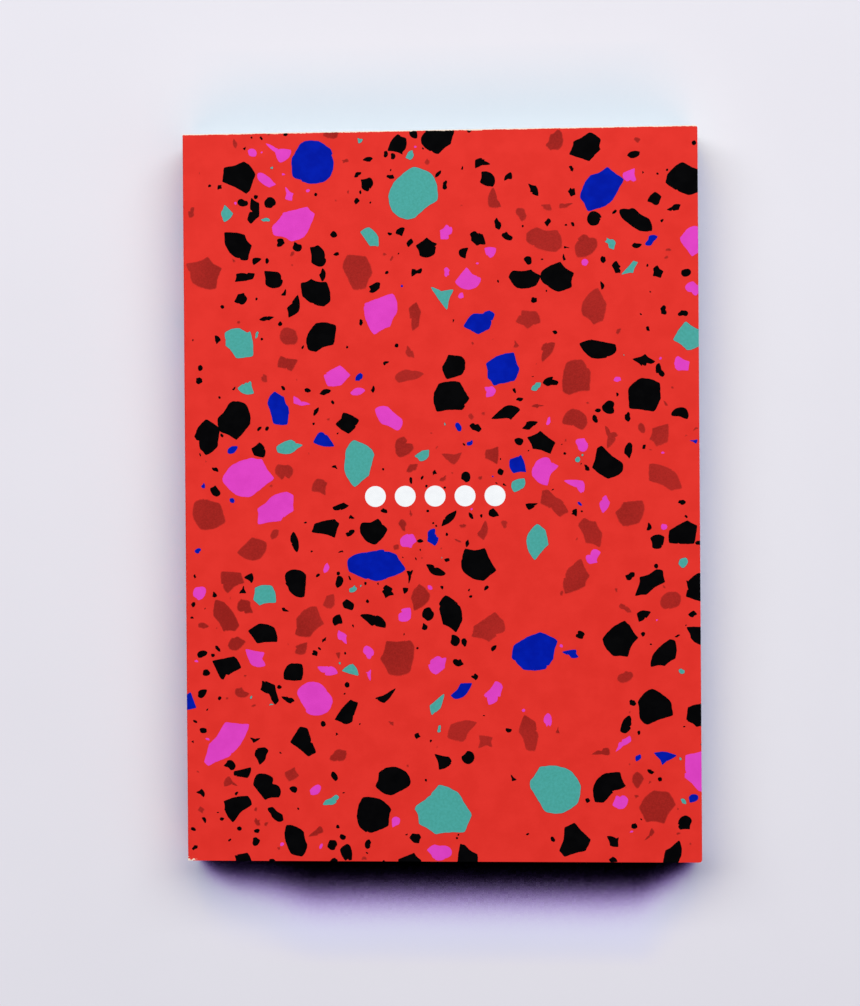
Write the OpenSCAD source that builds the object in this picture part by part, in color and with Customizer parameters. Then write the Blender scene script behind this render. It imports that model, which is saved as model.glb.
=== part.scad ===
// An A5 softcover notebook, lying on its back cover. The spine is at -X, the fore-edge at +X,
// the head at +Y and the front cover on top. Sections of folded leaves are sewn through
// their folds and glued into one wraparound card cover, and the whole is trimmed flush on
// three sides. The card is glued to the spine and to a narrow strip beside it, and each
// cover opens where that strip ends. Outside, the card is printed with a terrazzo of
// stone chips, which runs on round the spine, and a row of plain dots.

/* [Book] */
// Width of the closed book, from the spine to the fore-edge
book_w = 148; // [100:1:180]
// Height of the closed book, from the foot to the head
book_h = 210; // [140:1:254]
// Radius that handling has given the two fore-edge corners
corner_r = 0.8; // [0.3:0.1:3]

/* [Pages] */
// Folded sections in the block
section_count = 8; // [4:1:10]
// Leaves in one section
section_leaves = 16; // [10:2:20]
// Thickness of one leaf
leaf_t = 0.1; // [0.08:0.01:0.12]

/* [Cover] */
// Thickness of the cover card
card_t = 0.4; // [0.2:0.05:0.6]
// Thickness that stands for the printed layer on the card
ink_t = 0.05; // [0.03:0.01:0.08]
// Inside radius of the card where it folds round the spine
fold_r = 0.15; // [0.05:0.05:0.6]
// Distance from the spine to the line where a cover opens
hinge_w = 7; // [5:0.5:12]

/* [Binding] */
// Glue between the section backs and the spine of the card
glue_t = 0.5; // [0.4:0.05:1]
// Glue film between the outer leaves and the strips beside the spine
side_glue_t = 0.08; // [0.04:0.02:0.2]
// Distance that the side glue stops short of the opening line
side_glue_stop = 1; // [0.5:0.5:3]
// Diameter of the sewing thread
thread_d = 0.3; // [0.2:0.05:0.35]
// Rows of stitches along the spine
stitch_rows = 7; // [3:1:12]
// Distance from the head and the foot to the nearest row
stitch_margin = 18; // [10:1:40]

/* [Print] */
// Stone chips on the printed sheet that the cover is cut from
chip_count = 290; // [120:1:320]
// Length of the largest chip
chip_large = 19; // [13:0.5:26]
// Length of the largest black or dark red chip
chip_common = 12.5; // [8:0.5:16]
// Length of the smallest chip
chip_small = 6.5; // [4:0.5:8]
// Length of the chips, one of each ink, that lie on the spine itself
chip_spine = 9; // [6:0.5:12]
// Bare ground that two chips leave between them
chip_gap = 0.5; // [0.3:0.1:2]
// Number that picks one layout of the chips
chip_seed = 24; // [1:1:99]
// Dots in the row on the front cover
dot_count = 5; // [1:1:7]
// Diameter of one dot
dot_d = 6; // [3:0.5:8]
// Distance between the centres of two dots
dot_pitch = 8.6; // [8.2:0.1:12]
// Distance of the row's middle from the middle of the cover, towards the fore-edge
dot_shift = -1.5; // [-10:0.5:10]

/* [Hidden] */
// Sides of the round forms: small arcs, the thread and the dots
$fn = 12;
THREAD_SIDES = 8;
DOT_SIDES = 16;

// Inks
BLACK = 0;
PINK = 1;
TEAL = 2;
BLUE = 3;
DARK_RED = 4;
ALL_INKS = [BLACK, PINK, TEAL, BLUE, DARK_RED];
// The inks in turn, from the largest chip to the smallest, in the shares of a terrazzo
// that is mostly black and dark red
INK_TURNS = [
  TEAL, BLACK, BLUE, PINK, BLACK, DARK_RED, BLACK, DARK_RED, BLACK,
  PINK, BLACK, TEAL, DARK_RED, BLACK, BLACK, BLUE, DARK_RED, BLACK
];
paper_colour = "#F1EDE4";
card_colour = "#F4F1EC";
glue_colour = "#E9E2CF";
thread_colour = "#FFFFFF";
red_ink = "#E23229";
black_ink = "#0B0A0C";
pink_ink = "#DD3FBD";
teal_ink = "#4AA29A";
blue_ink = "#0019A3";
dark_red_ink = "#A5241E";
dot_ink = "#F5F8F9";

// Sizes that follow from the ones above
section_t = section_leaves * leaf_t;
block_t = section_count * section_t;
cover_t = card_t + ink_t;
fold_out_r = fold_r + cover_t;
book_t = block_t + 2 * (cover_t + side_glue_t);
spine_x = -book_w / 2;
edge_x = book_w / 2;
hinge_x = spine_x + hinge_w;
fold_x = spine_x + fold_out_r;
backs_x = spine_x + cover_t + glue_t;
block_z = cover_t + side_glue_t;
row_pitch = (book_h - 2 * stitch_margin) / (stitch_rows - 1);

// The print on the unfolded card: s is 0 where the front cover's face begins, beside the
// fold, and grows towards its fore-edge; below 0 come the fold, the spine, the other fold
// and the back cover. y runs from the foot to the head, with 0 at half height
spine_half = book_t / 2 - fold_out_r;
fold_length = PI * fold_out_r / 2;
wrap = 2 * (spine_half + fold_length);
spine_s = -wrap / 2;
hinge_s = hinge_x - fold_x;
end_s = edge_x - fold_x;
// How far the ink layer of a cut reaches past the layer that it goes through
cut_over = ink_t / 2;

// The card is cut from a larger printed sheet, so that its chips stay where they are when
// the book changes size: a sheet for the largest book, with the same s and y
SHEET_FRONT = 182;
SHEET_BACK = -208;
SHEET_H = 256;
// A chip either stays off a line where the card is cut or folded, or crosses it by this
chip_nip = 0.8;
cut_bands = [
  [-wrap - end_s, -wrap - end_s], [-wrap - hinge_s, -wrap - hinge_s],
  [-wrap, -wrap + fold_length], [-fold_length, 0], [hinge_s, hinge_s], [end_s, end_s]
];
// Distance from the front cover's face to the chips that lie on the spine
SPINE_CHIP_S = -6;
// Random numbers for one chip: two for its place, two for its form, two for each corner
CORNERS_MAX = 8;
FORM_DICE = 4;
DICE = FORM_DICE + 2 * CORNERS_MAX;
TRIES = 40;
// A chip is 0.5 to 0.95 as wide as it is long, and its corners lie within this share of
// the ellipse that bounds it
chip_slim = 0.5;
chip_full = 0.95;
corner_in = 0.74;
// Share of the way to the next corner by which one may wander
corner_wander = 0.4;
// Lengths above which a chip has one corner more, from four corners up
corner_lengths = [8.3, 11, 14.5, 18.5];
CORNERS_MIN = 4;
// The higher this power, the fewer chips are large
LARGE_FEW = 0.9;

// One chip is [s, y, half length, half width, angle, ink, number of corners, its dice]
function corner_count(length) = CORNERS_MIN + len([for (l = corner_lengths) if (length > l) 1]);
function dice_of(turn) = rands(0, 1, DICE, chip_seed * 1000 + turn);
function chip(s, y, length, ink, d) =
  [
    s, y, length / 2, length / 2 * (chip_slim + (chip_full - chip_slim) * d[2]), 360 * d[3],
    ink, corner_count(length), d
  ];
// Chip k from 0 up falls anywhere on the sheet. Those below 0 fall on the spine, one of
// each ink, each in its own share of the height
function sheet_chip(k, d) =
  let (
    ink = INK_TURNS[k % len(INK_TURNS)],
    fair = chip_small + (chip_large - chip_small) * pow(1 - k / (chip_count - 1), LARGE_FEW),
    length = ink == BLACK || ink == DARK_RED ? min(fair, chip_common) : fair
  )
  chip(SHEET_BACK + (SHEET_FRONT - SHEET_BACK) * d[0], (d[1] - 0.5) * SHEET_H, length, ink, d);
function spine_chip(i, d) =
  chip(
    SPINE_CHIP_S + (2 * d[0] - 1) * chip_nip, ((i + d[1]) / len(ALL_INKS) - 0.5) * book_h,
    chip_spine, ALL_INKS[i], d
  );
function thrown_chip(k, d) = k < 0 ? spine_chip(k + len(ALL_INKS), d) : sheet_chip(k, d);

// The corners go round the bounding ellipse, each a little in from it and off its turn
function chip_outline(c) =
  let (n = c[6], d = c[7], step = 360 / n)
  [
    for (i = [0 : n - 1])
      let (
        turn = step * (i + corner_wander * (2 * d[FORM_DICE + i] - 1)),
        reach = corner_in + (1 - corner_in) * d[FORM_DICE + CORNERS_MAX + i],
        u = c[2] * reach * cos(turn),
        v = c[3] * reach * sin(turn)
      )
      [c[0] + u * cos(c[4]) - v * sin(c[4]), c[1] + u * sin(c[4]) + v * cos(c[4])]
  ];

// How far the bounding ellipse reaches from its centre towards the direction a
function chip_reach(c, a) = norm([c[2] * cos(a - c[4]), c[3] * sin(a - c[4])]);
function clear_of(c, other) =
  let (way = [other[0] - c[0], other[1] - c[1]], far = c[2] + other[2] + chip_gap)
  abs(way[0]) > far || abs(way[1]) > far ? true
  : let (a = atan2(way[1], way[0]))
    norm(way) > chip_reach(c, a) + chip_reach(other, a) + chip_gap;
function clear_of_all(c, others) = len([for (o = others) if (!clear_of(c, o)) 1]) == 0;

// Throws chip k onto the sheet until it lands clear, and goes on to the next one, from
// the largest to the smallest; a chip that never lands clear is left out
function scatter(k, turn, missed, laid) =
  k == chip_count ? laid
  : missed == TRIES ? scatter(k + 1, turn, 0, laid)
  : let (c = thrown_chip(k, dice_of(turn)))
    clear_of_all(c, laid)
      ? scatter(k + 1, turn + 1, 0, concat(laid, [c]))
      : scatter(k, turn + 1, missed + 1, laid);

// What the book keeps of the sheet: the chips that reach it, that are cut cleanly and
// that leave the dots free
function nips(low, high, band) =
  (high > band[0] && high < band[1] + chip_nip) || (low < band[1] && low > band[0] - chip_nip);
function cuts_cleanly(points) =
  let (s = [for (p = points) p[0]], y = [for (p = points) p[1]], half_h = book_h / 2)
  len([for (band = cut_bands) if (nips(min(s), max(s), band)) 1]) == 0
  && !nips(min(y), max(y), [half_h, half_h]) && !nips(min(y), max(y), [-half_h, -half_h])
  && min(y) < half_h && max(y) > -half_h && min(s) < end_s && max(s) > -wrap - end_s;
dot_x = [for (i = [0 : dot_count - 1]) dot_shift + (i - (dot_count - 1) / 2) * dot_pitch];
dots = [for (x = dot_x) [x - fold_x, 0, dot_d / 2, dot_d / 2, 0]];
laid = scatter(-len(ALL_INKS), 0, 0, []);
chips = [
  for (i = [0 : len(laid) - 1])
    if (i < len(ALL_INKS) || (clear_of_all(laid[i], dots) && cuts_cleanly(chip_outline(laid[i]))))
      laid[i]
];

// Where a chip's outline crosses the line s = at, as [lowest y, highest y], within the book
function crossings(points, at) =
  [
    for (i = [0 : len(points) - 1])
      let (p = points[i], q = points[(i + 1) % len(points)])
      if ((p[0] - at) * (q[0] - at) < 0) p[1] + (q[1] - p[1]) * (at - p[0]) / (q[0] - p[0])
  ];
function held(y) = max(-book_h / 2, min(book_h / 2, y));
function fold_spans(side, inks) =
  [
    for (c = chips)
      if (len([for (ink = inks) if (ink == c[5]) 1]) > 0)
        let (y = crossings(chip_outline(c), spine_s + side * (spine_half + fold_length / 2)))
        if (len(y) > 1 && min(y) < book_h / 2 && max(y) > -book_h / 2)
          [held(min(y)), held(max(y))]
  ];

// Flat areas, seen from above, and the chips that fall on them
module panel_area() {
  translate([hinge_x, -book_h / 2]) square([edge_x - corner_r - hinge_x, book_h]);
  translate([hinge_x, corner_r - book_h / 2]) square([edge_x - hinge_x, book_h - 2 * corner_r]);
  for (end = [-1, 1])
    translate([edge_x - corner_r, end * (book_h / 2 - corner_r)]) circle(corner_r);
}

module strip_area() {
  translate([fold_x, -book_h / 2]) square([hinge_x - fold_x, book_h]);
}

module spine_area() {
  translate([spine_s - spine_half, -book_h / 2]) square([2 * spine_half, book_h]);
}

// side is 1 for the front of the book and -1 for its back
module face_chips(side, inks) {
  for (c = chips, ink = inks)
    if (c[5] == ink)
      polygon([
        for (p = chip_outline(c)) [fold_x + (side > 0 ? p[0] : -wrap - p[0]), p[1]]
      ]);
}

module sheet_chips(inks) {
  for (c = chips, ink = inks)
    if (c[5] == ink) polygon(chip_outline(c));
}

module dot_row() {
  for (x = dot_x)
    polygon([
      for (i = [0 : DOT_SIDES - 1])
        [x + dot_d / 2 * cos(360 * i / DOT_SIDES), dot_d / 2 * sin(360 * i / DOT_SIDES)]
    ]);
}

// A layer of the card cover is given by its depth under the outer face, from and to
module on_face(side, from, to) {
  translate([0, 0, side > 0 ? book_t - to : from]) linear_extrude(to - from) children();
}

module on_spine(from, to) {
  translate([spine_x + to, 0, book_t / 2 - spine_s]) rotate([0, -90, 0])
    linear_extrude(to - from) children();
}

module fold(side, from, to, low, high) {
  translate([fold_x, high, side > 0 ? book_t - fold_out_r : fold_out_r]) rotate([90, 0, 0])
    linear_extrude(high - low) intersection() {
      difference() {
        circle(fold_out_r - from);
        circle(fold_out_r - to);
      }
      translate([-2 * fold_out_r, side > 0 ? 0 : -2 * fold_out_r]) square(2 * fold_out_r);
    }
}

// Print: the chips of some inks on a cover and on the spine, and the red ground round them
module cover_print(side, ink) {
  on_face(side, 0, ink_t) intersection() {
    panel_area();
    face_chips(side, [ink]);
  }
}

module spine_print(ink) {
  for (side = [-1, 1]) {
    on_face(side, 0, ink_t) intersection() {
      strip_area();
      face_chips(side, [ink]);
    }
    for (span = fold_spans(side, [ink])) fold(side, 0, ink_t, span[0], span[1]);
  }
  on_spine(0, ink_t) intersection() {
    spine_area();
    sheet_chips([ink]);
  }
}

module cover_ground(side) {
  on_face(side, 0, ink_t) difference() {
    panel_area();
    face_chips(side, ALL_INKS);
    if (side > 0) dot_row();
  }
}

module spine_ground() {
  for (side = [-1, 1]) {
    on_face(side, 0, ink_t) difference() {
      strip_area();
      face_chips(side, ALL_INKS);
    }
    difference() {
      fold(side, 0, ink_t, -book_h / 2, book_h / 2);
      for (span = fold_spans(side, ALL_INKS))
        fold(side, -cut_over, ink_t + cut_over, span[0], span[1]);
    }
  }
  on_spine(0, ink_t) difference() {
    spine_area();
    sheet_chips(ALL_INKS);
  }
}

// The block seen from its foot: section backs at the left, trimmed leaves at the right
module block_profile() {
  for (i = [0 : section_count - 1])
    translate([backs_x + section_t / 2, block_z + (i + 0.5) * section_t]) circle(d = section_t);
  translate([backs_x + section_t / 2, block_z])
    square([edge_x - backs_x - section_t / 2, block_t]);
}

module along_book() {
  translate([0, book_h / 2, 0]) rotate([90, 0, 0]) linear_extrude(book_h) children();
}

module page_block() {
  color(paper_colour) intersection() {
    along_book() block_profile();
    translate([0, 0, block_z]) linear_extrude(block_t) {
      translate([spine_x, 0, 0]) translate([0, -book_h / 2]) square([hinge_w, book_h]);
      panel_area();
    }
  }
}

// Each row of stitches crosses the section backs, from the first section to the last
module along_stitches() {
  for (i = [0 : stitch_rows - 1])
    translate([
      backs_x - thread_d / 2, i * row_pitch + stitch_margin - book_h / 2,
      block_z + section_t / 2
    ])
      linear_extrude(block_t - section_t) children();
}

module thread_section() {
  circle(d = thread_d, $fn = THREAD_SIDES);
}

module sewing_thread() {
  color(thread_colour) along_stitches() thread_section();
}

module spine_glue() {
  color(glue_colour) difference() {
    along_book() difference() {
      union() {
        translate([spine_x + cover_t, fold_out_r])
          square([glue_t + section_t / 2, book_t - 2 * fold_out_r]);
        translate([fold_x, cover_t])
          square([hinge_w - fold_out_r - side_glue_stop, book_t - 2 * cover_t]);
      }
      block_profile();
    }
    // The glue doesn't get between a thread and the folds that it is pulled against
    along_stitches() {
      thread_section();
      translate([0, -thread_d / 2]) square(thread_d);
    }
  }
}

// Cover card
module spine_card() {
  color(card_colour) {
    on_spine(ink_t, cover_t) spine_area();
    for (side = [-1, 1]) {
      fold(side, ink_t, cover_t, -book_h / 2, book_h / 2);
      on_face(side, ink_t, cover_t) strip_area();
    }
  }
}

module front_card() {
  color(card_colour) on_face(1, ink_t, cover_t) panel_area();
}

module back_card() {
  color(card_colour) on_face(-1, ink_t, cover_t) panel_area();
}

page_block();
sewing_thread();
spine_glue();
spine_card();
color(red_ink) spine_ground();  // spine_red
color(black_ink) spine_print(BLACK);  // spine_black
color(pink_ink) spine_print(PINK);  // spine_pink
color(teal_ink) spine_print(TEAL);  // spine_teal
color(blue_ink) spine_print(BLUE);  // spine_blue
color(dark_red_ink) spine_print(DARK_RED);  // spine_dark_red
front_card();
color(red_ink) cover_ground(1);  // front_red
color(black_ink) cover_print(1, BLACK);  // front_black
color(pink_ink) cover_print(1, PINK);  // front_pink
color(teal_ink) cover_print(1, TEAL);  // front_teal
color(blue_ink) cover_print(1, BLUE);  // front_blue
color(dark_red_ink) cover_print(1, DARK_RED);  // front_dark_red
color(dot_ink) on_face(1, 0, ink_t) dot_row();  // front_dots
back_card();
color(red_ink) cover_ground(-1);  // back_red
color(black_ink) cover_print(-1, BLACK);  // back_black
color(pink_ink) cover_print(-1, PINK);  // back_pink
color(teal_ink) cover_print(-1, TEAL);  // back_teal
color(blue_ink) cover_print(-1, BLUE);  // back_blue
color(dark_red_ink) cover_print(-1, DARK_RED);  // back_dark_red
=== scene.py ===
"""A softcover notebook with a terrazzo print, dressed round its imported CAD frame."""

import bmesh
import bpy
import numpy as np
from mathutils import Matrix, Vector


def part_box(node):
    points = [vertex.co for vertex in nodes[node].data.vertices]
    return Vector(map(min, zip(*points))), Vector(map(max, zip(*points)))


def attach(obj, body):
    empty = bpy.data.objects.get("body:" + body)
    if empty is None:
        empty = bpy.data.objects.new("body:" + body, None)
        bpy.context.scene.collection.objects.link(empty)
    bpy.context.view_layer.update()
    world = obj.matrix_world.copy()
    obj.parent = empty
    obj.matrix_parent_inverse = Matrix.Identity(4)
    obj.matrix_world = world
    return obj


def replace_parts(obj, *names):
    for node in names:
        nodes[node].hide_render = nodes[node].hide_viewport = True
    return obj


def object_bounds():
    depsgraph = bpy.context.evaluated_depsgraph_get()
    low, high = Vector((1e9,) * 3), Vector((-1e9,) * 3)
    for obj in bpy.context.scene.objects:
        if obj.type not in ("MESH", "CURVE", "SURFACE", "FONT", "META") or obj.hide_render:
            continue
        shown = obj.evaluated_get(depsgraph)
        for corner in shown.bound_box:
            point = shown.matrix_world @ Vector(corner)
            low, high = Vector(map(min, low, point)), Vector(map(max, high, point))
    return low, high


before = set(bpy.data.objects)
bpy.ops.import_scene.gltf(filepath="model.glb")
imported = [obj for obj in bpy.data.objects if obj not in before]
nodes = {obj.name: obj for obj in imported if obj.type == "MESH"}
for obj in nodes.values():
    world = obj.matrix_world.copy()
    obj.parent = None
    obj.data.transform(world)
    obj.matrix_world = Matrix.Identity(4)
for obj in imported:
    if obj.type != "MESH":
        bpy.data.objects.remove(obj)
cad_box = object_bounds()
rng = np.random.default_rng(11)


# Page block: eight sections of sixteen leaves of cream, uncoated paper. Each section is
# folded at the spine, the sections are sewn through their folds, and one cut has trimmed
# the leaves flush at the head, the foot and the fore-edge.

class Wire:
    """A socket in a material. Arithmetic on it adds a Math node; node() adds any other."""

    def __init__(self, tree, socket=None):
        self.tree, self.socket = tree, socket

    def node(self, kind, settings=None, values=None, output=0):
        """Adds a node: its settings first, then the values or links of its sockets."""
        made = self.tree.nodes.new("ShaderNode" + kind)
        for name, setting in (settings or {}).items():
            if name == "stops":
                ramp = made.color_ramp
                for place, _ in setting[2:]:
                    ramp.elements.new(place)
                for element, (place, colour) in zip(ramp.elements, sorted(setting)):
                    element.position, element.color = place, (*colour, 1)
            else:
                setattr(made, name, setting)
        for name, value in (values or {}).items():
            if isinstance(value, Wire):
                self.tree.links.new(value.socket, made.inputs[name])
            else:
                made.inputs[name].default_value = value
        return Wire(self.tree, made.outputs[output])

    def math(self, operation, *values):
        """A Math node of up to three values."""
        return self.node("Math", {"operation": operation}, dict(enumerate(values)))

    def __add__(self, other):
        return self.math("ADD", self, other)

    def __radd__(self, other):
        return self.math("ADD", other, self)

    def __sub__(self, other):
        return self.math("SUBTRACT", self, other)

    def __rsub__(self, other):
        return self.math("SUBTRACT", other, self)

    def __mul__(self, other):
        return self.math("MULTIPLY", self, other)

    def __rmul__(self, other):
        return self.math("MULTIPLY", other, self)

    def __truediv__(self, other):
        return self.math("DIVIDE", self, other)

    def __rtruediv__(self, other):
        return self.math("DIVIDE", other, self)

    def rise(self, low, high):
        """0 below low, 1 above high, and a smooth step between."""
        return self.node(
            "MapRange", {"interpolation_type": "SMOOTHSTEP"},
            {"Value": self, "From Min": low, "From Max": high},
        )

    def tint(self, without, full):
        """The colour without where this is 0, and full where it is 1."""
        return self.node(
            "Mix", {"data_type": "RGBA"}, {0: self, 6: without, 7: full}, output=2
        )

    def noise(self, size, detail=2.0, stretch=(1, 1, 1)):
        """Noise with grains of about this size in metres, stretched along the axes."""
        place = self.node(
            "Mapping", None, {"Vector": self, "Scale": tuple(1 / (size * s) for s in stretch)}
        )
        return self.node("TexNoise", None, {"Vector": place, "Scale": 1.0, "Detail": detail})

    def axis(self, index):
        """One part of a place: 0 is x, 1 is y, 2 is z."""
        return self.node("SeparateXYZ", None, {0: self}, output=index)


def srgb(red, green, blue):
    """A colour as a screen shows it, 0 to 255, as the light that it stands for: the share
    of 255 plus 0.055, over 1.055, to the power 2.4, or a 12.92th of the darkest shares."""
    share = np.array([red, green, blue]) / 255
    return tuple(np.where(share > 0.04045, ((share + 0.055) / 1.055) ** 2.4, share / 12.92))


def opaque(colour):
    """A colour as a socket takes it, with its alpha."""
    return (*colour, 1)


def finish(name, **sockets):
    """A new material, its places in Object coordinates, and a way to link into its shader."""
    material = bpy.data.materials.new(name)
    material.use_nodes = True
    tree = material.node_tree
    shader = tree.nodes["Principled BSDF"]
    for socket, value in sockets.items():
        shader.inputs[socket.replace("_", " ")].default_value = value

    def feed(socket, wire):
        tree.links.new(wire.socket, shader.inputs[socket])

    return material, Wire(tree).node("TexCoord", output="Object"), feed


def grain(place, height, *wires):
    """A Bump from the sum of some wires, whose full step stands this high, in metres."""
    total = wires[0]
    for wire in wires[1:]:
        total = total + wire
    return place.node("Bump", None, {"Strength": 1.0, "Distance": height, "Height": total})


def array_mesh(name, points, polygons, **attributes):
    """A mesh of an array of points and arrays of polygons, with numbers on its points."""
    mesh = bpy.data.meshes.new(name)
    corners = np.concatenate([p.ravel() for p in polygons]).astype(np.int32)
    counts = np.concatenate([np.full(len(p), p.shape[1]) for p in polygons])
    mesh.vertices.add(len(points))
    mesh.vertices.foreach_set("co", points.astype(np.float32).ravel())
    mesh.loops.add(len(corners))
    mesh.loops.foreach_set("vertex_index", corners)
    mesh.polygons.add(len(counts))
    mesh.polygons.foreach_set("loop_start", (np.cumsum(counts) - counts).astype(np.int32))
    mesh.update(calc_edges=True)
    mesh.shade_flat()
    for attribute, values in attributes.items():
        layer = mesh.attributes.new(attribute, "FLOAT", "POINT")
        layer.data.foreach_set("value", values.astype(np.float32))
    return mesh


def make_piece(name, mesh, body, material):
    """An object of one mesh and one material, which rides on a body."""
    mesh.materials.append(material)
    made = bpy.data.objects.new(name, mesh)
    bpy.context.scene.collection.objects.link(made)
    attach(made, body)
    return made


LEAVES, SECTIONS, ROWS = 128, 8, 3
LEAF_GROOVE = 0.035e-3
LEAF_STRAY = 0.03e-3
CORNER = 0.8e-3
ARC_POINTS, SIDE_POINTS, SPINE_POINTS, CROWDED = 6, 21, 7, 1.6


def leaf_outline(left, right, half):
    """Points and outward normals round one leaf: the foot from the spine to the fore-edge,
    a quarter circle, the fore-edge, a quarter circle, the head, and back down the spine.
    The points of the head and the foot crowd towards the spine."""
    turn = np.linspace(0, np.pi / 2, ARC_POINTS)[1:-1]
    along = np.linspace(0, 1, SIDE_POINTS)
    side = np.linspace(0, 1, SPINE_POINTS)[1:-1]
    foot = np.stack([left + (right - CORNER - left) * along**CROWDED, 0 * along - half], 1)
    edge = np.stack([0 * along + right, (2 * along - 1) * (half - CORNER)], 1)
    arc = np.stack([np.sin(turn), -np.cos(turn)], 1)
    low = [right - CORNER, CORNER - half] + CORNER * arc
    flip = np.array([1, -1])
    spine = np.stack([0 * side + left, half * (1 - 2 * side)], 1)
    points = np.concatenate([foot, low, edge, (low * flip)[::-1], (foot * flip)[::-1], spine])
    normals = np.concatenate([
        0 * foot + [0, -1], arc, 0 * edge + [1, 0], (arc * flip)[::-1],
        0 * foot + [0, 1], 0 * spine + [-1, 0],
    ])
    return points, normals


def leaves_surface(low, high):
    """Rows up the block and columns round it. Every third row lies in the groove between
    two leaves, each leaf strays in a little, and at the spine a section's rows draw back as
    the half circle of its fold: radius less the root of radius squared less height squared."""
    outline, normals = leaf_outline(low[0], high[0], high[1])
    row = np.arange(LEAVES * ROWS + 1)
    z = low[2] + (high[2] - low[2]) * row / row[-1]
    leaf = np.minimum(row // ROWS, LEAVES - 1)
    inward = rng.uniform(0, LEAF_STRAY, LEAVES)[leaf] + np.where(row % ROWS == 0, LEAF_GROOVE, 0)
    radius = (high[2] - low[2]) / SECTIONS / 2
    height = (z - low[2]) % (2 * radius) - radius
    fold = low[0] + radius - np.sqrt(np.maximum(radius**2 - height**2, 0))
    x = np.maximum(outline[:, 0] - normals[:, 0] * inward[:, None], fold[:, None])
    y = outline[:, 1] - normals[:, 1] * inward[:, None]
    columns = len(outline)
    grid = np.stack([x, y, np.broadcast_to(z[:, None], x.shape)], -1).reshape(-1, 3)
    index = np.arange(len(grid)).reshape(len(row), columns)
    ahead = np.roll(index, -1, axis=1)
    walls = np.stack([index[:-1], ahead[:-1], ahead[1:], index[1:]], -1).reshape(-1, 4)
    middle = np.array([(low + high) / 2] * 2)
    middle[:, 2] = z[0], z[-1]
    ends = [
        np.stack([np.full(columns, len(grid)), ahead[0], index[0]], 1),
        np.stack([np.full(columns, len(grid) + 1), index[-1], ahead[-1]], 1),
    ]
    return np.concatenate([grid, middle]), [walls, *ends]


def paper_finish():
    """Cream paper, with a streak of its own for each leaf and short fibres."""
    paper, place, feed = finish("cream_paper", Roughness=0.88, Specular_IOR_Level=0.25)
    streak = place.noise(0.0009, 3.0, stretch=(500, 500, 0.12))
    fibre = place.noise(0.0004, 3.0, stretch=(3, 1, 1))
    tone = streak.rise(0.3, 0.7)
    feed("Base Color", tone.tint(opaque(srgb(226, 219, 203)), opaque(srgb(244, 239, 228))))
    feed("Normal", grain(place, 0.00003, fibre, streak * 0.6))
    return paper


block_low, block_high = (np.array(corner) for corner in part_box("page_block"))
leaves_mesh = array_mesh("leaves", *leaves_surface(block_low, block_high))
leaves = make_piece("leaves", leaves_mesh, "block", paper_finish())
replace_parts(leaves, "page_block")


# Sewing and glue: white cotton thread crosses the folds in seven rows, and cream
# dispersion glue fills the space between the folds and the card, with a thin film beside
# the spine. Both are seen only from the head, the foot, or with a cover open.
TWIST = 0.0005


def thread_finish():
    """Cotton: the turns of its plies as bumps, with painted shade in the grooves between them and
    painted light on their crowns.
    """
    thread, place, feed = finish("cotton_thread", Roughness=0.8)
    ply = place.node(
        "TexWave", {"wave_type": "BANDS", "bands_direction": "DIAGONAL"},
        {"Vector": place, "Scale": 1 / TWIST, "Distortion": 1.0, "Detail": 1.0},
    )
    # Painted shade and painted light: darker in the grooves between the plies, lighter on their
    # crowns.
    feed("Base Color", ply.tint(opaque(srgb(214, 209, 200)), opaque(srgb(246, 244, 238))))
    feed("Normal", grain(place, 0.00005, ply))
    return thread


def glue_finish():
    """Glue: swirls of cream, duller where it set thick."""
    glue, place, feed = finish("binding_glue", Roughness=0.4)
    swirl = place.noise(0.002, 3.0)
    tone = swirl.rise(0.3, 0.7)
    feed("Base Color", tone.tint(opaque(srgb(218, 208, 182)), opaque(srgb(238, 231, 212))))
    feed("Roughness", swirl * 0.3 + 0.3)
    feed("Normal", grain(place, 0.0001, swirl))
    return glue


def dress(node, material):
    """Gives a CAD solid its only material."""
    nodes[node].data.materials.clear()
    nodes[node].data.materials.append(material)


dress("sewing_thread", thread_finish())
dress("spine_glue", glue_finish())


# Cover card: one piece of white, uncoated card, folded round the spine. It shows its bare
# inside when a cover is open, and its cut edge all round.

def card_finish():
    """Card: faint clouds and short fibres, white with a little cream."""
    card, place, feed = finish("white_card", Roughness=0.82, Specular_IOR_Level=0.25)
    cloud = place.noise(0.003, 4.0)
    fibre = place.noise(0.0005, 3.0, stretch=(2, 1, 1))
    tone = (cloud * 0.4 + fibre * 0.6).rise(0.3, 0.7)
    feed("Base Color", tone.tint(opaque(srgb(241, 238, 232)), opaque(srgb(246, 244, 239))))
    feed("Normal", grain(place, 0.00003, fibre))
    return card


card_material = card_finish()
for node in ("spine_card", "front_card", "back_card"):
    dress(node, card_material)


# Red ground: the sheet is printed flat in one solid red, then folded round the spine and
# trimmed. A place on the flat sheet is s, 0 where the front face begins beside its fold,
# and y. All the print below lies on this sheet and goes round the folds with it.
BOOK_T = float(cad_box[1].z - cad_box[0].z)
EDGE_X = float(cad_box[1].x)
HALF_H = float(cad_box[1].y)
FOLD_R = 0.6e-3
FOLD_X = float(cad_box[0].x) + FOLD_R
FOLD = np.pi / 2 * FOLD_R
WRAP = BOOK_T - 2 * FOLD_R + 2 * FOLD
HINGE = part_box("front_card")[0].x - FOLD_X
END = EDGE_X - FOLD_X
GROUND_UNDER = 0.02e-3
INK_T = 0.05e-3
FOLD_STEPS = 8
CORNER_TURNS = np.radians([15, 45, 75])
BODIES = {"front": "front_cover", "back": "back_cover", "spine": "block"}


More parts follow.
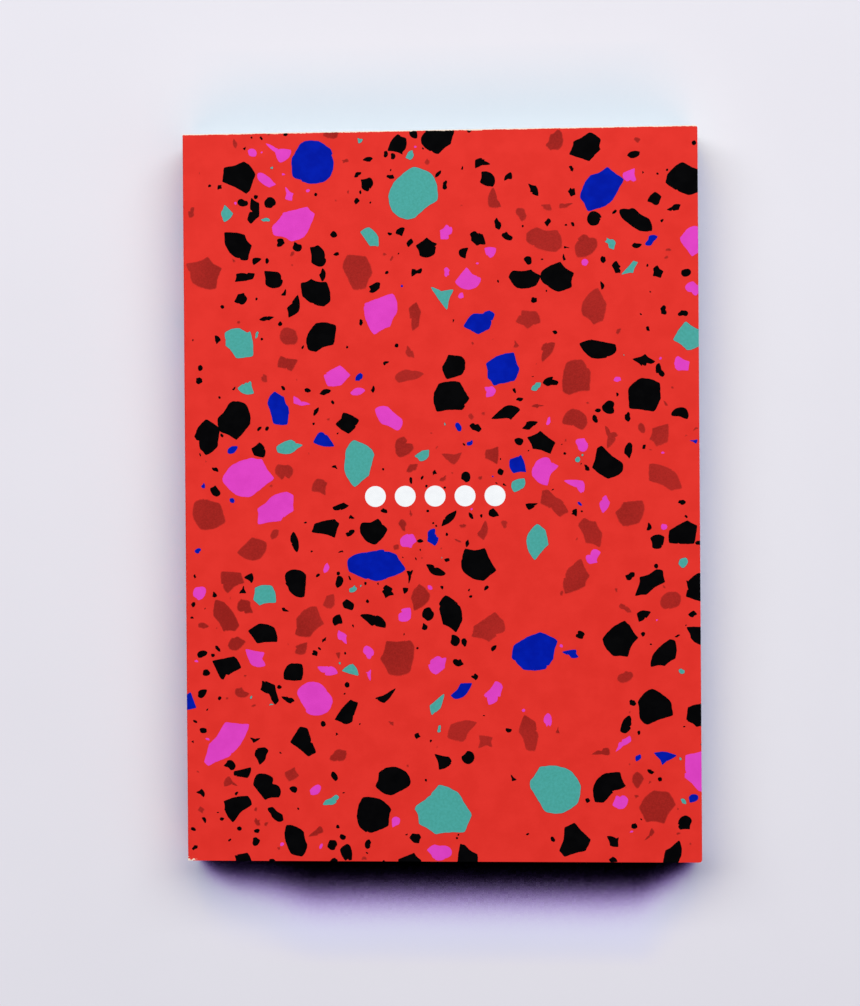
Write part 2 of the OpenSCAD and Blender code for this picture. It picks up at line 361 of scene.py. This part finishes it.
def on_book(s, y, depth):
    """A place on the sheet, and its depth under the face, as a place on the book. The
    turn so far is s over the fold's radius in each of the two folds; from the line of the
    folds' centres the place lies the radius less the depth out along the turned normal."""
    turn = (np.clip(-s, 0, FOLD) + np.clip(-s - WRAP + FOLD, 0, FOLD)) / FOLD_R
    along = np.maximum(s, 0) + np.maximum(-s - WRAP, 0)
    down = np.clip(-s - FOLD, 0, WRAP - 2 * FOLD)
    out = FOLD_R - depth
    return np.stack([
        FOLD_X + along - out * np.sin(turn), y, BOOK_T - FOLD_R - down + out * np.cos(turn)
    ], -1)


def cut(flat, at, normal, trim=False):
    """Scores the flat sheet along a line, or trims off what lies beyond it."""
    bmesh.ops.bisect_plane(
        flat, geom=[*flat.verts, *flat.edges, *flat.faces], dist=1e-8, plane_co=(*at, 0),
        plane_no=(*normal, 0), clear_outer=trim,
    )


def trim_to_cover(flat):
    """The head, the foot and both fore-edges, and three short cuts round each corner, which
    lie in from its circle by the cosine of half the turn from one to the next."""
    cut(flat, (0, HALF_H), (0, 1), True)
    cut(flat, (0, -HALF_H), (0, -1), True)
    for end, way in ((END, 1), (-WRAP - END, -1)):
        cut(flat, (end, 0), (way, 0), True)
        for side in (-1, 1):
            for turn in CORNER_TURNS:
                normal = np.array([way * np.cos(turn), side * np.sin(turn)])
                centre = np.array([end - way * CORNER, side * (HALF_H - CORNER)])
                cut(flat, centre + normal * CORNER * np.cos(CORNER_TURNS[0]), normal, True)


def score(flat):
    """The lines round each fold, and the two lines where a cover opens."""
    for step in np.linspace(0, FOLD, FOLD_STEPS + 1):
        cut(flat, (-step, 0), (1, 0))
        cut(flat, (step - WRAP, 0), (1, 0))
    for line in (HINGE, -WRAP - HINGE):
        cut(flat, (line, 0), (1, 0))


def flat_sheet(places, polygons, inset):
    """Flat shapes, trimmed to the cover and scored along its lines, as places on the
    sheet, triangles between them, and the inset of each place."""
    start = array_mesh("flat", np.column_stack([places, 0 * inset]), polygons, inset=inset)
    flat = bmesh.new()
    flat.from_mesh(start)
    bpy.data.meshes.remove(start)
    trim_to_cover(flat)
    score(flat)
    bmesh.ops.triangulate(flat, faces=flat.faces)
    sheet = bpy.data.meshes.new("sheet")
    flat.to_mesh(sheet)
    flat.free()
    place = np.zeros(len(sheet.vertices) * 3)
    sheet.vertices.foreach_get("co", place)
    corners = np.zeros(len(sheet.loops), np.int32)
    sheet.loops.foreach_get("vertex_index", corners)
    inset = np.zeros(len(sheet.vertices))
    sheet.attributes["inset"].data.foreach_get("value", inset)
    bpy.data.meshes.remove(sheet)
    return place.reshape(-1, 3)[:, :2], corners.reshape(-1, 3), inset


def ink_layer(place, faces, top, under):
    """Triangles on the sheet as a layer between two depths: the points of its face and
    then of its underside, and its polygons, with a wall along each free edge."""
    count = len(place)
    points = np.concatenate([on_book(*place.T, top), on_book(*place.T, under)])
    edges = np.concatenate([faces[:, [0, 1]], faces[:, [1, 2]], faces[:, [2, 0]]])
    key = edges[:, 0] * count + edges[:, 1]
    back = edges[:, 1] * count + edges[:, 0]
    free = edges[~np.isin(key, back)]
    walls = np.stack([free[:, 0], free[:, 0] + count, free[:, 1] + count, free[:, 1]], 1)
    return points, [faces, faces[:, ::-1] + count, walls]


def lay(places, polygons, inset, name, material, slot, top, under):
    """Prints flat shapes on the sheet and wraps them round the book, with one piece for
    each body. inset is how far each of their points lies inside its shape's outline."""
    place, corners, inset = flat_sheet(places, polygons, inset)
    middle = place[corners, 0].mean(1)
    share = {
        "front": middle > HINGE,
        "back": middle < -WRAP - HINGE,
        "spine": (middle <= HINGE) & (middle >= -WRAP - HINGE),
    }
    for part, chosen in share.items():
        if not chosen.any():
            continue
        used, faces = np.unique(corners[chosen], return_inverse=True)
        shape = ink_layer(place[used], faces.reshape(-1, 3), top, under)
        node = f"{part}_{name}"
        mesh = array_mesh(node + "_print", *shape, inset=np.tile(inset[used], 2))
        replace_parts(make_piece(node + "_print", mesh, BODIES[part], material), node)


HEAD_WEAR, CORNER_WEAR, DRAWN_OUT = 0.0011, 0.0028, 0.12
RIM, SPARE = (0.03e-3, 0.22e-3), 1.01


def worn(place, colour, feed):
    """The ink has broken off in a thin line along the head, where the blade came out, and
    at the corner between the spine and the foot, drawn out along the foot. The card shows
    there, duller than the ink."""
    head, foot = HALF_H - place.axis(1), place.axis(1) + HALF_H
    inward = place.axis(0) - (FOLD_X - FOLD_R)
    rough, patch = place.noise(0.0005, 4.0), place.noise(0.007, 2.0)
    line = 1 - (head / (rough * patch * HEAD_WEAR)).rise(0.7, 1.0)
    reach = place.math("SQRT", inward * inward * DRAWN_OUT + foot * foot)
    knock = 1 - (reach / (rough * rough * CORNER_WEAR)).rise(0.8, 1.0)
    bare = place.math("MAXIMUM", line, knock)
    feed("Base Color", bare.tint(colour, opaque(srgb(247, 226, 204))))
    feed("Roughness", bare * 0.2 + rough * 0.16 + 0.5)


def ink_finish(name, light, dark, size, gloss=0.06, rim=None):
    """Matt offset ink, mottled between two colours, over the fine tooth of the card, with
    a thin rim of another colour where two plates don't quite meet."""
    ink, place, feed = finish(name, Specular_IOR_Level=gloss)
    mottle = place.noise(size, 4.0).rise(0.3, 0.7)
    colour = mottle.tint(opaque(srgb(*light)), opaque(srgb(*dark)))
    if rim:
        inset = place.node("Attribute", {"attribute_name": "inset"}, output=2)
        colour = (1 - inset.rise(*RIM)).tint(colour, opaque(srgb(*rim)))
    worn(place, colour, feed)
    feed("Normal", grain(place, 0.000012, place.noise(0.0003, 3.0), place.noise(0.0012, 2.0)))
    return ink


ground = np.array([
    (-WRAP - END, -HALF_H), (END, -HALF_H), (END, HALF_H), (-WRAP - END, HALF_H)
]) * SPARE
red = ink_finish("red_ink", (229, 51, 42), (223, 47, 38), 0.006)
lay(ground, [np.arange(4)[None]], np.zeros(4), "red", red, "red_ink", GROUND_UNDER, INK_T)


# Stone chips: the terrazzo is printed in five inks, from broken shapes of stone whose
# sides are straight, round or hollow, with corners barely blunted and small bites. The
# large ones follow the CAD chips, unwrapped from the book onto the flat sheet.
INKS = ("black", "pink", "teal", "blue", "dark_red")
LINES = ((HINGE, HINGE), (0, -FOLD), (-WRAP + FOLD, -WRAP), (-WRAP - HINGE, -WRAP - HINGE))
NEAR, SLACK, PARALLEL = 1e-6, 1e-6, 1e-12
FLAT, SQUARE_ON = 0.01, 0.999
OVERHANG = 1.5e-3
POINTS = 96
CHIP_TOP, CHIP_UNDER, INK_STEP = 0.002e-3, 0.03e-3, 0.001e-3
BLUNT_FULL, BLUNT_LEAST = 480, 0.15
BITE_WIDTH, BITE_DEPTH = (0.8e-3, 3e-3), (0.15e-3, 0.6e-3)
ROUGH, LARGE_BOWS, MOST_BITES = 0.008, (-0.1, 0.13), 2


def cad_outlines(ink):
    """The faces of an ink's CAD chips, unwrapped to the sheet, each as its corners."""
    found = []
    for part in ("front", "spine", "back"):
        solid = bmesh.new()
        solid.from_mesh(nodes[f"{part}_{ink}"].data)
        bmesh.ops.remove_doubles(solid, verts=solid.verts, dist=NEAR)
        bmesh.ops.dissolve_limit(solid, angle_limit=FLAT, verts=solid.verts, edges=solid.edges)
        solid.normal_update()
        for face in solid.faces:
            x, y, z = np.array([v.co for v in face.verts]).T
            if face.normal.z > SQUARE_ON and z.max() > BOOK_T - NEAR:
                found.append(np.stack([x - FOLD_X, y], 1))
            elif face.normal.z < -SQUARE_ON and z.min() < NEAR:
                found.append(np.stack([FOLD_X - x - WRAP, y], 1))
            elif face.normal.x < -SQUARE_ON and x.min() < FOLD_X - FOLD_R + NEAR:
                found.append(np.stack([z + FOLD_R - BOOK_T - FOLD, y], 1))
        solid.free()
    return found


def join_over(outlines, right, left):
    """Joins the outlines that a line of the sheet has cut: the part right of it and the
    part left of it whose cuts lie at the same height."""
    def cut_at(outline, line):
        return np.abs(outline[:, 0] - line) < 2 * NEAR

    rights = [o for o in outlines if cut_at(o, right).sum() > 1 and o[:, 0].mean() > right]
    lefts = [o for o in outlines if cut_at(o, left).sum() > 1 and o[:, 0].mean() < left]
    used = {id(o) for o in rights + lefts}
    joined = [o for o in outlines if id(o) not in used]
    for a in rights:
        b = min(lefts, key=lambda o: abs(
            o[cut_at(o, left), 1].mean() - a[cut_at(a, right), 1].mean()))
        joined.append(np.concatenate([a[~cut_at(a, right)], b[~cut_at(b, left)]]))
    return joined


def overhanging(outline):
    """Draws the corners that lie on the cover's border out over it, to be trimmed again."""
    s, y = outline.T
    over = OVERHANG * (np.abs(y) > HALF_H - CORNER) * (np.abs(y) > HALF_H - 2 * NEAR)
    out = outline.copy()
    out[:, 1] += np.sign(y) * over
    out[:, 0] += OVERHANG * (s > END - 2 * NEAR) - OVERHANG * (s < -WRAP - END + 2 * NEAR)
    return out


def directions(corners, count):
    """Even directions round a stone, of which those nearest its corners turn to them."""
    step = 2 * np.pi / count
    toward = np.arctan2(corners[:, 1], corners[:, 0])
    nearest = np.round(toward / step).astype(int)
    angles = np.arange(count) * step
    angles[nearest % count] += toward - nearest * step
    return angles


def rays_out(corners, angles, bows):
    """How far a stone reaches along each angle. A ray meets the side from a to b at
    (a cross b-a) over (ray cross b-a), where the share t of the side lies between 0 and 1,
    and the side bows out there by its bow times its length times 4 t (1 - t). It bows in
    by half of the reach at most."""
    side = np.roll(corners, -1, axis=0) - corners
    ray = np.stack([np.cos(angles), np.sin(angles)], 1)[:, None]
    cross = ray[..., 0] * side[:, 1] - ray[..., 1] * side[:, 0]
    cross = np.where(np.abs(cross) < PARALLEL, PARALLEL, cross)
    reach = (corners[:, 0] * side[:, 1] - corners[:, 1] * side[:, 0]) / cross
    t = (corners[:, 0] * ray[..., 1] - corners[:, 1] * ray[..., 0]) / cross
    hit = (reach > 0) & (t > -SLACK) & (t < 1 + SLACK)
    bowed = reach + bows * np.hypot(*side.T) * 4 * t * (1 - t)
    return np.where(hit, np.maximum(bowed, 0.5 * reach), 0).max(1)


def stone(corners, count, bow, bites):
    """A stone's angles and how far it reaches along them. Each reach takes a share of its
    neighbours', which blunts the corners, more where the points lie closer. The outline is
    rough by two waves, of 9 and 19 crests a turn, and a bite steps in at once and comes
    back as a square."""
    corners = corners[np.argsort(np.arctan2(corners[:, 1], corners[:, 0]))]
    angles = directions(corners, count)
    reach = rays_out(corners, angles, rng.uniform(*bow, len(corners)))
    blunt = max(count / BLUNT_FULL, BLUNT_LEAST)
    reach = blunt * np.roll(reach, 1) + (1 - 2 * blunt) * reach + blunt * np.roll(reach, -1)
    for _ in range(bites):
        start, way = rng.uniform(-np.pi, np.pi), rng.choice([-1, 1])
        along = ((angles - start + np.pi) % (2 * np.pi) - np.pi) * reach * way
        width, depth = rng.uniform(*BITE_WIDTH), rng.uniform(*BITE_DEPTH)
        back = np.clip(1 - along / width, 0, 1) ** 2
        reach = reach - np.where(along > 0, depth * back, 0)
    phase = rng.uniform(0, 2 * np.pi, 2)
    rough = np.sin(9 * angles + phase[0]) + 0.7 * np.sin(19 * angles + phase[1])
    return angles, reach * (1 + ROUGH * rough)


large = []
for ink in INKS:
    outlines = cad_outlines(ink)
    for right, left in LINES:
        outlines = join_over(outlines, right, left)
    for outline in map(overhanging, outlines):
        centre = outline.mean(0)
        shape = stone(outline - centre, POINTS, LARGE_BOWS, rng.integers(0, MOST_BITES + 1))
        large.append((ink, centre, *shape))


# Smaller chips: medium and small ones and specks, broken from the same stone and printed
# in the same inks. Each size is thrown onto the sheet, most of it in clusters with bare
# ground between them, until enough of them lie clear of the rest, the folds and the dots.

# How many, the shortest and the longest, the points round each, and the share of each ink.
SIZES = {
    "medium": (300, 4.6e-3, 12e-3, 60, (0.38, 0.18, 0.08, 0.11, 0.25)),
    "small": (350, 2.2e-3, 4.6e-3, 28, (0.61, 0.05, 0.06, 0.06, 0.22)),
    "speck": (470, 0.8e-3, 2.2e-3, 12, (0.67, 0.06, 0.05, 0.03, 0.19)),
}
THROWN_FOR_ONE = 30
CLUSTERS, SPREAD, GATHERED = 48, 9e-3, 0.8
CLEAR, TAKES_UP, MORE_SHORT = 0.15e-3, 0.45, 1.3
SMALL_BOWS, LOBED, FINEST, POINTS_A_BITE = (-0.14, 0.24), 0.3, 12, 50
TURN_STRAY, REACHES, SLIM = (-0.2, 0.2), (0.6, 1), (0.35, 0.95)
HOLLOW_HALF, HOLLOW_DEPTH = (0.22, 0.5), (0.2, 0.5)
DOTS = 5

laid_centre = np.array([centre for _, centre, _, _ in large])
laid_reach = np.array([reach for _, _, _, reach in large])
dot_low, dot_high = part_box("front_dots")
DOT_R = (dot_high.y - dot_low.y) / 2
dot_s = np.linspace(dot_low.x + DOT_R, dot_high.x - DOT_R, DOTS) - FOLD_X
dots = np.stack([dot_s, 0 * dot_s], 1)
SHEET = np.array([[-WRAP - END, -HALF_H], [END, HALF_H]])


def clear_of(centre, radius):
    """Which throws lie clear of the large chips, the dots and the lines of the folds: they
    are further off than the chip reaches towards them and their own radius."""
    way = centre[:, None] - laid_centre
    far = np.hypot(way[..., 0], way[..., 1])
    toward = np.arctan2(way[..., 1], way[..., 0]) / (2 * np.pi) * POINTS
    chip_reach = laid_reach[np.arange(len(laid_centre)), np.round(toward).astype(int) % POINTS]
    free = (far > chip_reach + radius[:, None] + CLEAR).all(1)
    gap = np.hypot(*(centre[:, None] - dots).transpose(2, 0, 1))
    free &= (gap > DOT_R + radius[:, None] + CLEAR).all(1)
    return free & (np.abs(centre[:, :1] - np.unique(LINES)) > radius[:, None]).all(1)


def broken_corners(length):
    """Three to six corners at uneven turns and reaches, drawn slim and turned."""
    number = rng.integers(3, 7)
    turn = (np.arange(number) + rng.uniform(*TURN_STRAY, number)) * 2 * np.pi / number
    reach = rng.uniform(*REACHES, number)
    long, wide = reach * np.cos(turn), reach * np.sin(turn) * rng.uniform(*SLIM)
    grown = length / 2 / np.hypot(long, wide).max()
    a = rng.uniform(0, 2 * np.pi)
    return grown * np.stack([long * np.cos(a) - wide * np.sin(a),
                             long * np.sin(a) + wide * np.cos(a)], 1)


def lobed(angles, reach):
    """Some stones have a broad hollow: a bell curve of the angle, cut from the reach."""
    off = (angles - rng.uniform(-np.pi, np.pi) + np.pi) % (2 * np.pi) - np.pi
    bell = np.exp(-((off / rng.uniform(*HOLLOW_HALF)) ** 2))
    return angles, reach * (1 - rng.uniform(*HOLLOW_DEPTH) * bell)


stones = {ink: [chip[1:] for chip in large if chip[0] == ink] for ink in INKS}
cluster = rng.uniform(*SHEET, (CLUSTERS, 2))
small_centre, small_radius = np.zeros((0, 2)), np.zeros(0)
for wanted, shortest, longest, count, shares in SIZES.values():
    throws = wanted * THROWN_FOR_ONE
    length = shortest + (longest - shortest) * rng.uniform(0, 1, throws) ** MORE_SHORT
    near = cluster[rng.integers(0, len(cluster), throws)] + rng.normal(0, SPREAD, (throws, 2))
    gathered = rng.uniform(0, 1, (throws, 1)) < GATHERED
    centre = np.where(gathered, near, rng.uniform(*SHEET, (throws, 2)))
    radius = length * TAKES_UP
    inks = rng.choice(INKS, throws, p=shares)
    landed = 0
    for k in np.flatnonzero(clear_of(centre, radius)):
        gap = np.hypot(*(small_centre - centre[k]).T)
        if landed < wanted and (gap > small_radius + radius[k] + CLEAR).all():
            small_centre = np.vstack([small_centre, centre[k]])
            small_radius = np.append(small_radius, radius[k])
            shape = stone(broken_corners(length[k]), count, SMALL_BOWS, count // POINTS_A_BITE)
            if count > FINEST and rng.uniform() < LOBED:
                shape = lobed(*shape)
            stones[inks[k]].append((centre[k], *shape))
            landed += 1


def chip_sheet(chips, rings):
    """The flat shapes of one ink: rings inwards from each outline and a point at its
    centre. Along each ray a ring lies in from the outline by its inset, as a share of the
    mean reach, but never past its even share of the way."""
    places, insets, faces, base = [], [], [], 0
    for count in sorted({len(reach) for _, _, reach in chips}):
        alike = [chip for chip in chips if len(chip[2]) == count]
        centre, angles, reach = (np.array(values) for values in zip(*alike))
        mean = reach.mean(1)[:, None]
        share = np.minimum(np.array(rings) / mean, np.arange(len(rings)) / (len(rings) + 1))
        inset = share[..., None] * reach[:, None]
        ray = np.stack([np.cos(angles), np.sin(angles)], -1)[:, None]
        ring = centre[:, None, None] + ray * (reach[:, None] - inset)[..., None]
        index = base + np.arange(inset.size).reshape(inset.shape)
        ahead = np.roll(index, -1, axis=2)
        middle = (base + inset.size + np.arange(len(alike)))[:, None] + 0 * index[:, -1]
        band = np.stack([index[:, :-1], ahead[:, :-1], ahead[:, 1:], index[:, 1:]], -1)
        core = np.stack([index[:, -1], ahead[:, -1], middle], -1)
        faces += [band.reshape(-1, 4), core.reshape(-1, 3)]
        places += [ring.reshape(-1, 2), centre]
        insets += [inset.ravel(), mean.ravel()]
        base += inset.size + len(alike)
    return np.concatenate(places), faces, np.concatenate(insets)


PALE_RIM, DARK_RIM = (0.16e-3, 0.3e-3), (0.06e-3, 0.17e-3)


def rimmed_finish():
    """Teal: mottled, with a pale line just inside its rim and a dark red one round it."""
    teal, place, feed = finish("teal_ink", Specular_IOR_Level=0.06)
    mottle = place.noise(0.0007, 3.0).rise(0.25, 0.75)
    colour = mottle.tint(opaque(srgb(70, 160, 150)), opaque(srgb(76, 169, 162)))
    inset = place.node("Attribute", {"attribute_name": "inset"}, output=2)
    colour = (1 - inset.rise(*PALE_RIM)).tint(colour, opaque(srgb(112, 180, 174)))
    colour = (1 - inset.rise(*DARK_RIM)).tint(colour, opaque(srgb(126, 40, 42)))
    worn(place, colour, feed)
    feed("Normal", grain(place, 0.000012, place.noise(0.0003, 3.0)))
    return teal


def sheer_finish():
    """Dark red: a sheer, fine-grained ink that the red shows through, soft at its edge."""
    dark, place, feed = finish("dark_red_ink", Specular_IOR_Level=0.06)
    speckle, cloud = place.noise(0.0004, 3.0), place.noise(0.02, 1.0)
    inset = place.node("Attribute", {"attribute_name": "inset"}, output=2)
    full = (inset + (speckle - 0.5) * 0.0005).rise(-0.0001, 0.0004)
    tone = (speckle * 0.45 + cloud * 0.55).rise(0.3, 0.7)
    colour = tone.tint(opaque(srgb(143, 28, 22)), opaque(srgb(176, 38, 32)))
    worn(place, full.tint(opaque(srgb(226, 50, 41)), colour), feed)
    feed("Normal", grain(place, 0.000012, place.noise(0.0003, 3.0)))
    return dark


chip_inks = {
    "black": (ink_finish("black_ink", (6, 6, 7), (3, 3, 4), 0.003, gloss=0.008), (0.0,)),
    "pink": (ink_finish("pink_ink", (226, 67, 196), (219, 62, 189), 0.004), (0.0,)),
    "teal": (rimmed_finish(), (0.0, 0.15e-3, 0.35e-3)),
    "blue": (
        ink_finish("blue_ink", (1, 29, 172), (0, 23, 158), 0.003, gloss=0.02, rim=(62, 34, 150)),
        (0.0, 0.25e-3),
    ),
    "dark_red": (sheer_finish(), (0.0, 0.5e-3)),
}
# Each ink lies a step deeper than the one before, so chips that overlap share no face.
for order, (ink, (material, rings)) in enumerate(chip_inks.items(), 1):
    sheet = chip_sheet(stones[ink], rings)
    lay(*sheet, ink, material, ink + "_ink", CHIP_TOP + order * INK_STEP, CHIP_UNDER)


# Row of dots: five plain round dots in opaque white ink, printed last, over the ground,
# across the middle of the front.
DOT_POINTS = 64
round_dot = np.linspace(0, 2 * np.pi, DOT_POINTS, endpoint=False)
white = ink_finish("white_ink", (247, 250, 251), (242, 245, 247), 0.002)
dot_sheet = chip_sheet([(dot, round_dot, 0 * round_dot + DOT_R) for dot in dots], (0.0,))
lay(*dot_sheet, "dots", white, "white_ink", CHIP_TOP, CHIP_UNDER)


# Studio: a pale table, one long soft light beyond the head of the book and a little to its
# left, and a faint violet light from all round. The camera looks almost straight down. Far
# from the book the table runs out into a plain pale backdrop. Round the book, a painted
# shadow and painted shade are part of the table's colour.
BACKDROP = opaque(srgb(228, 226, 234))
BLACK = (0, 0, 0, 1)
# Painted shadow: the table's colour by the share of the dome that the book covers, pale to violet
# to black.
PAINTED_SHADOW = (
    (0.0, (230, 228, 235)), (0.08, (230, 227, 235)), (0.14, (222, 221, 237)),
    (0.20, (218, 219, 240)), (0.26, (221, 219, 245)), (0.30, (217, 207, 246)),
    (0.33, (201, 180, 237)), (0.36, (172, 141, 217)), (0.40, (110, 82, 148)),
    (0.43, (50, 42, 64)), (0.46, (10, 9, 15)), (0.48, (0, 0, 0)),
)
# Painted shade: the table darkened by the share of a dome, turned away from the head, that the
# book covers.
PAINTED_DIMMING = ((0.12, (1.0, 1.0, 1.0)), (0.26, (0.9, 0.95, 0.97)), (0.42, (0.76, 0.87, 0.92)))
LEAN = 8
# Painted light: the painted shadow is lifted at both ends of the foot.
LEFT_END, RIGHT_END, PAINTED_END_LIGHT = (-0.058, -0.036), (0.055, 0.070), 0.07
FADE = (0.28, 1.1)


def covered(place, samples, distance, turn):
    """The share of a half dome of this radius that the book covers. The dome is turned
    this many degrees from the head towards the fore-edge and leans low over the table."""
    turn, rise = np.radians([turn, LEAN])
    toward = place.node("CombineXYZ", None, {
        0: np.sin(turn) * np.cos(rise), 1: np.cos(turn) * np.cos(rise), 2: np.sin(rise),
    })
    return 1 - place.node(
        "AmbientOcclusion", {"samples": samples}, {"Distance": distance, "Normal": toward},
        output=1,
    )


def floor_finish():
    """A pale table, with a painted shadow in its colour. It deepens to violet, then black, where
    the book covers the half dome that leans towards the head, less so at both ends of the
    foot, where painted light lifts it. On the lit sides painted shade darkens it where the
    book's edges would throw bounced light on it."""
    table, place, feed = finish(
        "pale_table_painted_shadow", Roughness=0.9, Specular_IOR_Level=0.0, Emission_Strength=1.0
    )
    x, y = place.axis(0), place.axis(1)
    far = place.math("SQRT", x * x + y * y).rise(*FADE)
    # Painted light at both ends of the foot, taken off the painted shadow's share.
    ends = 1 - x.rise(*LEFT_END) + x.rise(*RIGHT_END)
    stops = [(at, srgb(*colour)) for at, colour in PAINTED_SHADOW]
    hidden = covered(place, samples=32, distance=0.035, turn=0) - ends * PAINTED_END_LIGHT
    thrown = covered(place, samples=16, distance=0.03, turn=165)
    # Painted shadow and painted shade go into the table's base colour.
    shade = place.node("ValToRGB", {"stops": stops}, {0: hidden})
    painted_dimming = place.node("ValToRGB", {"stops": PAINTED_DIMMING}, {0: thrown})
    cloud = place.noise(0.05, 2.0) * 0.03 + 0.985
    dimmed = place.node("VectorMath", {"operation": "MULTIPLY"}, {0: shade, 1: painted_dimming})
    clouded = place.node("VectorMath", {"operation": "SCALE"}, {0: dimmed, "Scale": cloud})
    feed("Base Color", far.tint(clouded, BLACK))
    feed("Emission Color", far.tint(BLACK, BACKDROP))
    return table


WIDE, UNDER = 3.0, -1e-4
floor_mesh = array_mesh("floor", np.array([
    (-WIDE, -WIDE, UNDER), (WIDE, -WIDE, UNDER), (WIDE, WIDE, UNDER), (-WIDE, WIDE, UNDER),
]), [np.arange(4)[None]])
floor_mesh.materials.append(floor_finish())
floor = bpy.data.objects.new("floor", floor_mesh)
bpy.context.scene.collection.objects.link(floor)

lamp = bpy.data.lights.new("soft_light", "AREA")
lamp.shape, lamp.size, lamp.size_y, lamp.energy = "RECTANGLE", 6.4, 1.9, 146.0
lamp.color = (0.99, 1.0, 0.95)
lamp_object = bpy.data.objects.new("soft_light", lamp)
bpy.context.scene.collection.objects.link(lamp_object)
lift, swing, distance = np.radians(52), np.radians(4), 2.6
lamp_object.location = (
    -distance * np.cos(lift) * np.sin(swing), distance * np.cos(lift) * np.cos(swing),
    distance * np.sin(lift),
)
lamp_object.rotation_euler = (-(np.pi / 2 - lift), 0, swing)

world = bpy.data.worlds.new("even_light")
world.use_nodes = True
fill = world.node_tree.nodes["Background"]
fill.inputs["Color"].default_value = opaque(srgb(205, 198, 252))
fill.inputs["Strength"].default_value = 0.15
air = Wire(world.node_tree, fill.outputs["Background"])
plain = air.node("Background", None, {"Color": BACKDROP})
camera_ray, glossy_ray, through_ray = (
    air.node("LightPath", output=f"Is {kind} Ray") for kind in ("Camera", "Glossy", "Transmission")
)
seen = air.node("MixShader", None, {0: camera_ray + glossy_ray + through_ray, 1: air, 2: plain})
world.node_tree.links.new(seen.socket, world.node_tree.nodes["World Output"].inputs["Surface"])
bpy.context.scene.world = world

lens = bpy.data.cameras.new("camera")
lens.sensor_fit, lens.sensor_height, lens.lens = "VERTICAL", 36.0, 73.21
lens.clip_start = 0.01
camera = bpy.data.objects.new("camera", lens)
bpy.context.scene.collection.objects.link(camera)
camera.location = (0.0338, 0.0011, 0.6)
camera.rotation_euler = np.radians([-0.326, 3.589, -0.416])
bpy.context.scene.camera = camera
bpy.context.scene.view_settings.view_transform = "Standard"
